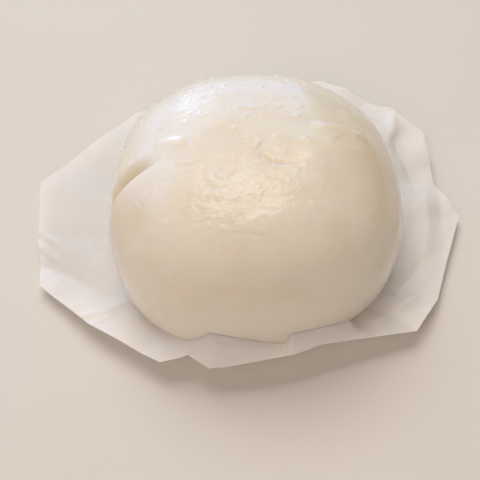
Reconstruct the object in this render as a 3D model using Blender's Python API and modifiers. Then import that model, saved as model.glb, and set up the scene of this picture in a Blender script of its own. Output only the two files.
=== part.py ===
"""A large steamed bun, one solid body of dough, on the thin sheet of paper that it was steamed on.

The origin is the middle of the bun's footprint, on the surface that the sheet lies on. +Z is up and
-Y is the front. Lengths are in millimetres and azimuths in degrees, counted from +X towards +Y.
Each mesh is filled in millimetres and turned into metres as it becomes an object.
"""

import math

import bmesh
import bpy
import numpy as np

MM = 0.001

# The bun's plain body, before its folds.
BUN_HALF_WIDTH = 46.4
BUN_HALF_DEPTH = 45.1
BUN_HEIGHT = 54.5
WIDEST_LEVEL = 15.0
BELLY_DEPTH = 18.0
PLAN_ROUNDNESS = 2.38
CROWN_ROUNDNESS = 2.5
BELLY_ROUNDNESS = 2.4
# Each wave makes the plan uneven: its lobes, its share of the radius, and one lobe's azimuth.
PLAN_WAVES = ((2, 0.005, 71.0), (3, 0.015, -1.0), (4, 0.0064, -10.0))
# Squares along one edge of the cube that is swelled into the bun.
BUN_GRID = 25
# A corner of the mesh that lies this close to the flat underside is moved onto it.
RIM_SNAP = 0.12

# Places on the skin are written on a flat map of it, unrolled from the top of the bun. This is the
# length of skin from the top to the widest level.
SKIN_QUARTER = 66.0

# The deep fold at the left, where the front lobe laps over the back one.
FOLD_PATH = (
    (-66.0, -20.0),
    (-55.0, -13.5),
    (-46.9, -10.1),
    (-41.3, -7.9),
    (-35.3, -5.8),
    (-30.4, -4.0),
    (-26.5, -1.5),
)
FOLD_DEPTH = 5.0
FOLD_STEEP_HALF_WIDTH = 1.3
FOLD_GENTLE_WIDTH_OUTSIDE = 13.0
FOLD_GENTLE_WIDTH_INSIDE = 3.5
FOLD_LIP_HEIGHT = 0.9
FOLD_LIP_WIDTH = 4.0
FOLD_LIP_SETBACK = 2.8
FOLD_FADE_OUTSIDE = 0.25
FOLD_FADE_INSIDE = 0.26
# How far from the fold the mesh is drawn together, and how much.
GATHER_REACH = 4.5
GATHER_SHARE = 0.6

# Shallow creases and low ridges of the closed top: path, height (below nought for a crease), width.
TOP_SEAM = (
    (-19.5, -8.3),
    (-11.8, -11.1),
    (-8.9, -13.4),
    (-4.7, -10.6),
    (1.7, -11.0),
    (8.4, -9.1),
    (15.5, -8.7),
)
RIGHT_CREASE = ((15.5, -8.7), (20.0, -5.4), (25.5, -2.9), (30.9, -1.5), (39.1, 2.9))
TOP_DIMPLE = ((0.6, -2.6), (3.6, -5.3), (5.5, -7.4))
TAB_RIDGE = ((16.9, 4.6), (21.8, 6.1), (26.4, 6.2), (29.9, 5.2), (29.6, 3.2), (28.5, 1.3))
SIDE_RIDGE = ((25.6, 15.9), (28.0, 10.9), (31.0, 7.0), (32.6, 1.9))
FOLD_END_RIDGE = ((-28.5, 2.9), (-24.8, 1.5), (-21.3, -0.4))
TOP_FOLDS = (
    (TOP_SEAM, -0.6, 2.0),
    (RIGHT_CREASE, -0.5, 2.4),
    (TOP_DIMPLE, -0.5, 2.2),
    (TAB_RIDGE, 0.6, 1.8),
    (SIDE_RIDGE, 0.5, 1.6),
    (FOLD_END_RIDGE, 0.8, 2.2),
)
# The share of such a fold's length over which each end runs out.
TOP_FOLD_FADE = 0.2

# The sheet of paper.
SHEET_THICKNESS = 0.4
CLEARANCE = 0.3
SHEET_FLAT_RADIUS = 30.0
SHEET_FLAT_ROWS = 2
SHEET_SIDE_ROWS = 7
SHEET_MARGIN_ROWS = 5
SPOKES = 100
# Above 1, the rows up the bun's side start close together.
SIDE_ROW_SPREAD = 1.6
# The height over which the slope of the bun's side is measured.
SLOPE_STEP = 0.5

# The sheet's cut edge, corner by corner round the front from the left: azimuth, radius, height.
SHEET_CORNERS = (
    (164.0, 79.2, 5.0),
    (180.0, 73.9, 3.4),
    (-164.0, 72.8, 5.0),
    (-145.5, 62.2, 6.5),
    (-120.0, 56.5, 10.0),
    (-112.6, 51.4, 11.0),
    (-104.2, 53.3, 11.0),
    (-92.0, 50.3, 13.0),
    (-78.2, 49.5, 13.8),
    (-76.8, 49.4, 13.9),
    (-66.0, 49.1, 14.0),
    (-36.5, 62.9, 7.0),
    (-23.5, 64.6, 5.0),
    (6.5, 73.0, 4.0),
    (18.0, 70.3, 5.5),
    (31.5, 76.6, 9.0),
    (46.0, 74.6, 10.0),
    (68.0, 74.8, 9.5),
    (99.0, 72.0, 6.0),
    (129.0, 72.0, 5.0),
)

# How high the sheet clings to the bun's side before it turns outwards, by azimuth.
CLING_HEIGHTS = (
    (-180.0, 1.0),
    (-160.0, 1.5),
    (-146.0, 3.0),
    (-130.0, 6.0),
    (-121.0, 9.5),
    (-115.5, 12.0),
    (-110.4, 16.0),
    (-106.2, 21.2),
    (-100.0, 20.2),
    (-93.0, 18.0),
    (-87.5, 15.6),
    (-81.4, 13.2),
    (-78.2, 12.4),
    (-76.8, 18.8),
    (-66.2, 18.0),
    (-59.6, 16.4),
    (-52.9, 13.2),
    (-47.0, 9.0),
    (-38.0, 4.0),
    (-24.0, 2.0),
    (20.0, 1.5),
    (48.0, 2.5),
    (75.0, 2.5),
    (100.0, 1.5),
    (180.0, 1.0),
)

# Soft folds that run outwards in the sheet's margin: azimuth, half-width in degrees, height.
SHEET_FOLDS = (
    (172.0, 5.0, 0.9),
    (-170.0, 4.0, 1.2),
    (-158.0, 4.0, 1.6),
    (-150.0, 3.0, -1.0),
    (-138.0, 5.0, 1.3),
    (-127.0, 4.0, -1.0),
    (-30.0, 5.0, 1.0),
    (-12.0, 5.0, -0.9),
    (12.0, 4.0, 1.2),
    (24.0, 3.5, -1.2),
    (40.0, 3.5, 1.4),
    (52.0, 3.0, -1.0),
    (60.0, 3.5, 1.2),
    (84.0, 6.0, 1.0),
    (112.0, 6.0, -0.9),
    (144.0, 7.0, 1.0),
)

DOUGH_COLOUR = (0.78, 0.70, 0.56, 1.0)
DOUGH_ROUGHNESS = 0.42
PAPER_COLOUR = (0.82, 0.80, 0.77, 1.0)
PAPER_ROUGHNESS = 0.55


def clear_scene():
    """Removes every object that the scene starts with."""
    for item in list(bpy.data.objects):
        bpy.data.objects.remove(item, do_unlink=True)


def make_material(name, colour, roughness):
    """Returns a Principled material of one colour that isn't a metal."""
    material = bpy.data.materials.new(name)
    material.use_nodes = True
    shader = material.node_tree.nodes["Principled BSDF"]
    shader.inputs["Base Color"].default_value = colour
    shader.inputs["Roughness"].default_value = roughness
    shader.inputs["Metallic"].default_value = 0.0
    return material


def add_object(name, bm, material, collection):
    """Turns a bmesh in millimetres into a smooth named object in metres."""
    bmesh.ops.scale(bm, vec=(MM, MM, MM), verts=bm.verts)
    mesh = bpy.data.meshes.new(name)
    bm.to_mesh(mesh)
    bm.free()
    mesh.shade_smooth()
    mesh.materials.append(material)
    item = bpy.data.objects.new(name, mesh)
    collection.objects.link(item)
    return item


def smooth_step(value):
    """Eases a value from 0 to 1, and holds it outside that range."""
    value = np.clip(value, 0.0, 1.0)
    return value * value * (3.0 - 2.0 * value)


def between_ends(share, fade_first, fade_last):
    """Rises from 0 at a path's first end to 1, and falls to 0 at its last end."""
    return smooth_step(share / fade_first) * smooth_step((1.0 - share) / fade_last)


def plan_share(across, along):
    """Returns how far places are from the middle, as a share of the bun's uneven oval plan."""
    azimuth = np.arctan2(along, across)
    oval = (np.abs(across) / BUN_HALF_WIDTH) ** PLAN_ROUNDNESS
    oval = (oval + (np.abs(along) / BUN_HALF_DEPTH) ** PLAN_ROUNDNESS) ** (1.0 / PLAN_ROUNDNESS)
    reach = 1.0
    for lobes, height, turn in PLAN_WAVES:
        reach = reach + height * np.cos(lobes * (azimuth - math.radians(turn)))
    return oval / reach


def body_points(directions):
    """Places unit directions, seen from the middle of the widest level, on the plain body."""
    across, along, up = directions.T
    crown = up >= 0.0
    power = np.where(crown, CROWN_ROUNDNESS, BELLY_ROUNDNESS)
    reach = np.where(crown, BUN_HEIGHT - WIDEST_LEVEL, BELLY_DEPTH)
    distance = (plan_share(across, along) ** power + (np.abs(up) / reach) ** power) ** (-1.0 / power)
    points = directions * distance[:, None]
    points[:, 2] += WIDEST_LEVEL
    return points


def side_radius(azimuth, height):
    """Returns the plain body's radius at each azimuth and height above its underside."""
    level = height - WIDEST_LEVEL
    crown = level >= 0.0
    power = np.where(crown, CROWN_ROUNDNESS, BELLY_ROUNDNESS)
    reach = np.where(crown, BUN_HEIGHT - WIDEST_LEVEL, BELLY_DEPTH)
    share = (1.0 - (np.abs(level) / reach) ** power) ** (1.0 / power)
    return share / plan_share(np.cos(azimuth), np.sin(azimuth))


def skin_places(directions):
    """Returns where unit directions lie on the flat map of the skin."""
    tilt = np.arccos(np.clip(directions[:, 2], -1.0, 1.0))
    azimuth = np.arctan2(directions[:, 1], directions[:, 0])
    radius = tilt * SKIN_QUARTER / (math.pi / 2.0)
    return np.column_stack([radius * np.cos(azimuth), radius * np.sin(azimuth)])


def skin_directions(places):
    """Returns the unit directions of places on the flat map of the skin."""
    radius = np.hypot(places[:, 0], places[:, 1])
    tilt = radius * (math.pi / 2.0) / SKIN_QUARTER
    azimuth = np.arctan2(places[:, 1], places[:, 0])
    flat = np.sin(tilt)
    return np.column_stack([flat * np.cos(azimuth), flat * np.sin(azimuth), np.cos(tilt)])


def measure_path(places, path):
    """Measures places on the skin's map against a path.

    Returns each place's distance to the path's left, its share of the path's length, and the
    nearest point of the path.
    """
    path = np.array(path)
    nearest = np.full(len(places), np.inf)
    side = np.zeros(len(places))
    passed = np.zeros(len(places))
    foot = np.zeros_like(places)
    length_before = 0.0
    for start, end in zip(path, path[1:]):
        step = end - start
        length = np.linalg.norm(step)
        rest = places - start
        along = np.clip(rest @ step / length ** 2, 0.0, 1.0)
        point = start + along[:, None] * step
        gap = np.linalg.norm(places - point, axis=1)
        closer = gap < nearest
        turn = step[0] * rest[:, 1] - step[1] * rest[:, 0]
        nearest = np.where(closer, gap, nearest)
        side = np.where(closer, np.where(turn < 0.0, -1.0, 1.0), side)
        passed = np.where(closer, length_before + along * length, passed)
        foot = np.where(closer[:, None], point, foot)
        length_before += length
    return nearest * side, passed / length_before, foot


def gather_skin(places):
    """Draws the map's places together along the deep fold, so that its lip is finely split."""
    offset, share, foot = measure_path(places, FOLD_PATH)
    pull = GATHER_SHARE * np.exp(-((offset / GATHER_REACH) ** 2))
    pull *= between_ends(share, FOLD_FADE_OUTSIDE, FOLD_FADE_INSIDE)
    return places + (foot - places) * pull[:, None]


def fold_relief(places):
    """Returns the height of the deep fold: a rounded lip, a steep drop and a gentle far side."""
    offset, share, _ = measure_path(places, FOLD_PATH)
    drop = smooth_step((offset + FOLD_STEEP_HALF_WIDTH) / (2.0 * FOLD_STEEP_HALF_WIDTH))
    width = FOLD_GENTLE_WIDTH_OUTSIDE + (FOLD_GENTLE_WIDTH_INSIDE - FOLD_GENTLE_WIDTH_OUTSIDE) * share
    rise = smooth_step((offset - FOLD_STEEP_HALF_WIDTH) / width)
    lip = np.exp(-(((offset + FOLD_LIP_SETBACK) / FOLD_LIP_WIDTH) ** 2))
    strength = between_ends(share, FOLD_FADE_OUTSIDE, FOLD_FADE_INSIDE)
    return strength * (FOLD_LIP_HEIGHT * lip - FOLD_DEPTH * drop * (1.0 - rise))


def skin_relief(places):
    """Returns how far the skin stands out of the plain body."""
    height = fold_relief(places)
    for path, top, width in TOP_FOLDS:
        offset, share, _ = measure_path(places, path)
        ends = between_ends(share, TOP_FOLD_FADE, TOP_FOLD_FADE)
        height += top * ends * np.exp(-((offset / width) ** 2))
    return height


def build_bun(material, collection):
    """Builds the bun from a cube that is swelled into a body with a flat underside."""
    bm = bmesh.new()
    bmesh.ops.create_cube(bm, size=2.0)
    bmesh.ops.subdivide_edges(bm, edges=bm.edges, cuts=BUN_GRID - 1, use_grid_fill=True)
    corners = np.tan(np.array([vert.co for vert in bm.verts]) * math.pi / 4.0)
    directions = corners / np.linalg.norm(corners, axis=1)[:, None]
    directions = skin_directions(gather_skin(skin_places(directions)))
    points = body_points(directions)
    points += directions * skin_relief(skin_places(directions))[:, None]
    points[np.abs(points[:, 2]) < RIM_SNAP, 2] = 0.0
    for vert, point in zip(bm.verts, points):
        vert.co = point
    cut = bmesh.ops.bisect_plane(
        bm,
        geom=bm.verts[:] + bm.edges[:] + bm.faces[:],
        dist=0.001,
        plane_co=(0.0, 0.0, 0.0),
        plane_no=(0.0, 0.0, -1.0),
        clear_outer=True,
    )
    rim = [item for item in cut["geom_cut"] if isinstance(item, bmesh.types.BMEdge)]
    bmesh.ops.contextual_create(bm, geom=rim)
    bmesh.ops.triangulate(bm, faces=bm.faces[:])
    bmesh.ops.recalc_face_normals(bm, faces=bm.faces[:])
    bmesh.ops.translate(bm, verts=bm.verts, vec=(0.0, 0.0, SHEET_THICKNESS + CLEARANCE))
    return add_object("bun", bm, material, collection)


def edge_points():
    """Returns points along the sheet's cut edge, with one at each corner, and their azimuths."""
    turns = np.radians([azimuth for azimuth, _, _ in SHEET_CORNERS])
    radii = np.array([radius for _, radius, _ in SHEET_CORNERS])
    heights = np.array([height for _, _, height in SHEET_CORNERS])
    corners = np.column_stack([radii * np.cos(turns), radii * np.sin(turns), heights])
    points = []
    for index, start in enumerate(corners):
        following = (index + 1) % len(corners)
        span = (turns[following] - turns[index]) % (2.0 * math.pi)
        steps = max(1, round(SPOKES * span / (2.0 * math.pi)))
        for step in range(steps):
            points.append(start + (corners[following] - start) * step / steps)
    points = np.array(points)
    return points, np.arctan2(points[:, 1], points[:, 0])


def flat_rows(azimuth):
    """Returns radius and height of the rows that lie flat under the bun."""
    level = np.zeros_like(azimuth)
    radii = [SHEET_FLAT_RADIUS * row / SHEET_FLAT_ROWS for row in range(1, SHEET_FLAT_ROWS + 1)]
    return [(level + radius, level) for radius in radii]


def side_rows(azimuth):
    """Returns radius and height of the rows that follow the bun's side, one clearance away."""
    away = SHEET_THICKNESS + CLEARANCE
    turns = np.radians([turn for turn, _ in CLING_HEIGHTS])
    cling = np.interp(azimuth, turns, [height for _, height in CLING_HEIGHTS])
    rows = []
    for row in range(1, SHEET_SIDE_ROWS + 1):
        height = cling * (row / SHEET_SIDE_ROWS) ** SIDE_ROW_SPREAD
        radius = side_radius(azimuth, height)
        slope = np.arctan2(SLOPE_STEP, side_radius(azimuth, height + SLOPE_STEP) - radius)
        rows.append((radius + away * np.sin(slope), height + away - away * np.cos(slope)))
    return rows


def margin_rows(azimuth, edge, start):
    """Returns radius and height of the rows from the bun's side to the cut edge, with its folds."""
    folds = np.zeros_like(azimuth)
    for turn, half_width, top in SHEET_FOLDS:
        apart = np.degrees(np.angle(np.exp(1j * (azimuth - math.radians(turn)))))
        folds += top * np.exp(-((apart / half_width) ** 2))
    edge_radius = np.hypot(edge[:, 0], edge[:, 1])
    start_radius, start_height = start
    rows = []
    for row in range(1, SHEET_MARGIN_ROWS + 1):
        share = row / SHEET_MARGIN_ROWS
        radius = start_radius + (edge_radius - start_radius) * share
        height = start_height + (edge[:, 2] - start_height + folds) * share
        rows.append((radius, height))
    return rows


def build_sheet(material, collection):
    """Builds the sheet as rings of squares round its middle, split alike on both faces."""
    edge, azimuth = edge_points()
    rows = flat_rows(azimuth) + side_rows(azimuth)
    rows += margin_rows(azimuth, edge, rows[-1])
    bm = bmesh.new()
    middle = bm.verts.new((0.0, 0.0, 0.0))
    rings = []
    for radius, height in rows:
        points = np.column_stack([radius * np.cos(azimuth), radius * np.sin(azimuth), height])
        rings.append([bm.verts.new(point) for point in points])
    count = len(azimuth)
    for index in range(count):
        following = (index + 1) % count
        bm.faces.new((middle, rings[0][index], rings[0][following]))
        for inner, outer in zip(rings, rings[1:]):
            bm.faces.new((inner[index], outer[index], outer[following], inner[following]))
    bmesh.ops.triangulate(bm, faces=bm.faces[:])
    item = add_object("paper_sheet", bm, material, collection)
    wall = item.modifiers.new("Thickness", "SOLIDIFY")
    wall.thickness = SHEET_THICKNESS * MM
    wall.offset = 1.0
    return item


def main():
    """Builds the bun and its sheet in one collection."""
    clear_scene()
    collection = bpy.data.collections.new("manju")
    bpy.context.scene.collection.children.link(collection)
    dough = make_material("steamed_dough", DOUGH_COLOUR, DOUGH_ROUGHNESS)
    paper = make_material("thin_white_paper", PAPER_COLOUR, PAPER_ROUGHNESS)
    build_bun(dough, collection)
    build_sheet(paper, collection)


main()
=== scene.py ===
"""A large steamed bun on the thin sheet of paper that it was steamed on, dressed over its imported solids.

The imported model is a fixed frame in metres: +Z is up, -Y is the front, and the origin is the middle
of the bun's footprint. The forms here repeat the solids' own rules with a finer mesh, in
millimetres, and add what dough and paper show close up: a lapped fold, stretched and gathered skin,
a low belly, and the creases of paper that has been steamed and pulled straight.
"""

import logging
import math
from dataclasses import dataclass, field
from enum import Enum
from typing import Any

import bmesh
import bpy
import numpy as np
from bpy.types import Material, Node, NodeSocket, NodeTree, Object
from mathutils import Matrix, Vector, noise


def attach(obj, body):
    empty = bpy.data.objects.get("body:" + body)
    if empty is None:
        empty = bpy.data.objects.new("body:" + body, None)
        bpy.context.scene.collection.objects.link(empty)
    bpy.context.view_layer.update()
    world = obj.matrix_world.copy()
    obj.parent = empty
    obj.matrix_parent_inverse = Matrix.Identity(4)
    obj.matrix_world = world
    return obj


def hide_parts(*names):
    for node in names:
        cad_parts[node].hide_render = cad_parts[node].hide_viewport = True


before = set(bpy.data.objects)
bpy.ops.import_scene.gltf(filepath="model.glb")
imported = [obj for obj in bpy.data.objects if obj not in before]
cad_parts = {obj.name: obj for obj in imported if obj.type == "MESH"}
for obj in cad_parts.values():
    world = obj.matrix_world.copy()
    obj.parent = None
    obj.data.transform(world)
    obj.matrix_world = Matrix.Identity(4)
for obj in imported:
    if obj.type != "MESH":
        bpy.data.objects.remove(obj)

MM = 0.001
LOG = logging.getLogger("manju")
# Random patterns lie this many grains apart, and are stretched to reach about -1 and 1.
PATTERN_STEP = 17.31
PATTERN_REACH = 1.6
# A low step's raised side falls away over this many of its widths.
STEP_FADE = 6.0
# A pressed crease's crest is sharper than a plain gable by this power.
CREST_SHARPNESS = 1.6
Array = np.ndarray
Path2 = tuple[tuple[float, float], ...]
Inputs = dict[int | str, Any]


class Slot(Enum):
    """The record's material slots that pieces take their finish from."""

    DOUGH = "dough"
    PAPER = "paper"


class Solid(Enum):
    """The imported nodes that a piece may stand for."""

    BUN = "bun"
    SHEET = "paper_sheet"


class LineKind(Enum):
    """How a line on the skin is shaped across."""

    ROUND = "a rounded ridge or crease"
    STEP = "a low step whose left side stands higher"


class LightUse(Enum):
    """What a light panel is there for."""

    FILL = "lights the surfaces, and doesn't show in their gloss"
    GLOSS = "shows in the gloss alone"


class PanelShape(Enum):
    """The outline of a light panel."""

    RECTANGLE = "RECTANGLE"
    ELLIPSE = "ELLIPSE"


# Shared helpers


def linear(code: str) -> tuple[float, float, float, float]:
    """Turns an sRGB hex colour into linear light.

    Args:
        code: Six hex digits.

    Returns:
        Red, green and blue in linear light, and an alpha of 1.
    """
    shares = [int(code[index : index + 2], 16) / 255.0 for index in (0, 2, 4)]
    red, green, blue = (
        share / 12.92 if share <= 0.04045 else ((share + 0.055) / 1.055) ** 2.4 for share in shares
    )
    return red, green, blue, 1.0


def per(size: float) -> float:
    """Turns a pattern's size in millimetres into its scale."""
    return 1.0 / (size * MM)


def feed(tree: NodeTree, node: Node, inputs: Inputs) -> None:
    """Sets a node's values and the links into it.

    Args:
        tree: The node's tree.
        node: The node.
        inputs: What each input gets, by name or index: a value, an output, or a node for its first output.
    """
    for key, value in inputs.items():
        source = value.outputs[0] if isinstance(value, Node) else value
        if isinstance(source, NodeSocket):
            tree.links.new(source, node.inputs[key])
        else:
            node.inputs[key].default_value = source


def add_node(tree: NodeTree, kind: str, inputs: Inputs | None = None, **settings: Any) -> Node:
    """Adds one node with its settings, its values and the links into it.

    Args:
        tree: The shader or geometry tree.
        kind: The node's type name.
        inputs: What each input gets, as `feed` takes it.
        settings: Values of the node's own properties.

    Returns:
        The new node.
    """
    node = tree.nodes.new(kind)
    for name, value in settings.items():
        setattr(node, name, value)
    feed(tree, node, inputs or {})
    return node


def start_material(name: str) -> tuple[Material, NodeTree, Node, NodeSocket]:
    """Starts a material on its one shader.

    Args:
        name: The finish's name.

    Returns:
        The material, its tree, its shader and the place on the object.
    """
    material = bpy.data.materials.new(name)
    material.use_nodes = True
    tree = material.node_tree
    place = add_node(tree, "ShaderNodeTexCoord").outputs["Object"]
    return material, tree, tree.nodes["Principled BSDF"], place


def start_tree(name: str, sizes: tuple[str, ...]) -> tuple[NodeTree, bpy.types.NodeOutputs]:
    """Starts a geometry tree whose inputs are a shape, sizes and a seed.

    Args:
        name: The tree's name.
        sizes: The names of its sizes.

    Returns:
        The tree, and what it is given.
    """
    tree = bpy.data.node_groups.new(name, "GeometryNodeTree")
    face = tree.interface
    face.new_socket("Geometry", in_out="INPUT", socket_type="NodeSocketGeometry")
    for size in sizes:
        face.new_socket(size, in_out="INPUT", socket_type="NodeSocketFloat")
    face.new_socket("Seed", in_out="INPUT", socket_type="NodeSocketInt")
    face.new_socket("Geometry", in_out="OUTPUT", socket_type="NodeSocketGeometry")
    return tree, add_node(tree, "NodeGroupInput").outputs


def end_tree(tree: NodeTree, shape: Node, material: Material) -> None:
    """Ends a geometry tree with its shape made real and dressed.

    Args:
        tree: The tree.
        shape: The node whose first output is the shape.
        material: The finish.
    """
    real = add_node(tree, "GeometryNodeRealizeInstances", {"Geometry": shape})
    dressed = add_node(tree, "GeometryNodeSetMaterial", {"Geometry": real, "Material": material})
    add_node(tree, "NodeGroupOutput", {"Geometry": dressed})


def smooth_step(value: Array) -> Array:
    """Eases a value from 0 to 1, and holds it outside that range."""
    value = np.clip(value, 0.0, 1.0)
    return value * value * (3.0 - 2.0 * value)


def between_ends(share: Array, first: float, last: float) -> Array:
    """Rises from 0 at a path's first end to 1, and falls to 0 at its last end."""
    return smooth_step(share / first) * smooth_step((1.0 - share) / last)


def bell(value: Array, width: float) -> Array:
    """Falls smoothly from 1 at nought to almost nothing past twice the width."""
    return np.exp(-((value / width) ** 2))


def around(azimuth: Array, radius: Array, *more: Array) -> Array:
    """Turns azimuths and radii into rows of x and y, with any further columns beside them."""
    return np.column_stack([radius * np.cos(azimuth), radius * np.sin(azimuth), *more])


def degrees_apart(azimuth: Array, turn: float) -> Array:
    """Measures azimuths in radians against one in degrees, the short way round."""
    return np.degrees(np.angle(np.exp(1j * (azimuth - math.radians(turn)))))


def grain(places: Array, size: float, seed: float) -> Array:
    """Gives soft random heights of one grain size.

    Args:
        places: Points of two or three columns, in millimetres.
        size: The grain's size in millimetres.
        seed: Which of the endless random patterns to read.

    Returns:
        One height between about -1 and 1 for each point.
    """
    full = np.zeros((len(places), 3))
    full[:, : places.shape[1]] = places / size
    full += seed * PATTERN_STEP
    return np.array([noise.noise(Vector(point)) for point in full]) * PATTERN_REACH


def curve_through(points: Path2, steps: int = 10) -> Array:
    """Draws a smooth curve through a few places.

    Args:
        points: The places, in order.
        steps: Pieces between one place and the next.

    Returns:
        Closely spaced places along the curve.
    """
    known = np.array(points, dtype=float)
    padded = np.vstack([2.0 * known[0] - known[1], known, 2.0 * known[-1] - known[-2]])
    shares = np.linspace(0.0, 1.0, steps, endpoint=False)[:, None]
    parts = []
    for before, start, end, after in zip(padded, padded[1:], padded[2:], padded[3:]):
        square = 2.0 * before - 5.0 * start + 4.0 * end - after
        cube = 3.0 * start - before - 3.0 * end + after
        parts.append(0.5 * (2.0 * start + (end - before) * shares + square * shares**2 + cube * shares**3))
    return np.vstack(parts + [known[-1:]])


def make_object(name: str, points: Array, faces: list[tuple[int, ...]] | Array, material: Material) -> Object:
    """Makes a smooth object at the origin from points in millimetres.

    Args:
        name: The piece's name.
        points: One row of x, y and z for each corner.
        faces: The corners of each face.
        material: The finish.

    Returns:
        The object, linked into the scene.
    """
    mesh = bpy.data.meshes.new(name)
    mesh.from_pydata((points * MM).tolist(), [], [tuple(face) for face in faces])
    mesh.validate()
    mesh.shade_smooth()
    mesh.materials.append(material)
    item = bpy.data.objects.new(name, mesh)
    bpy.context.scene.collection.objects.link(item)
    return item


def face_outwards(item: Object) -> None:
    """Turns the faces of a closed mesh outwards.

    Args:
        item: The object that has the mesh.
    """
    bm = bmesh.new()
    bm.from_mesh(item.data)
    bmesh.ops.recalc_face_normals(bm, faces=bm.faces[:])
    bm.to_mesh(item.data)
    bm.free()


def add_attribute(item: Object, name: str, values: Array) -> None:
    """Keeps a value or a vector for each point of a mesh.

    Args:
        item: The object.
        name: The attribute's name.
        values: One number a point, or one row of three.
    """
    kind, key = ("FLOAT_VECTOR", "vector") if values.ndim == 2 else ("FLOAT", "value")
    layer = item.data.attributes.new(name, kind, "POINT")
    layer.data.foreach_set(key, np.ascontiguousarray(values, dtype=np.float32).ravel())


def fix_shape(item: Object) -> None:
    """Replaces an object's mesh by its shape with the modifiers made real, and removes them.

    Args:
        item: The object.
    """
    graph = bpy.context.evaluated_depsgraph_get()
    graph.update()
    solid = item.evaluated_get(graph)
    mesh = bpy.data.meshes.new_from_object(solid, preserve_all_data_layers=True, depsgraph=graph)
    item.modifiers.clear()
    item.data = mesh


def use_tree(item: Object, tree: NodeTree, values: dict[str, float | int]) -> None:
    """Runs a geometry tree on an object and keeps its result as the object's plain mesh.

    Args:
        item: The object.
        tree: The geometry tree.
        values: What each named input is set to.
    """
    modifier = item.modifiers.new(tree.name, "NODES")
    modifier.node_group = tree
    for socket in tree.interface.items_tree:
        if socket.in_out == "INPUT" and socket.name in values:
            modifier[socket.identifier] = values[socket.name]
    fix_shape(item)


def settle(item: Object, solid: Solid) -> None:
    """Hands a finished piece to the frame and reports it.

    Args:
        item: The piece.
        solid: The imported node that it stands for.
    """
    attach(item, "root")
    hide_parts(solid.value)
    LOG.info("%s: %d faces", item.name, len(item.data.polygons))


# Finishes


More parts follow.
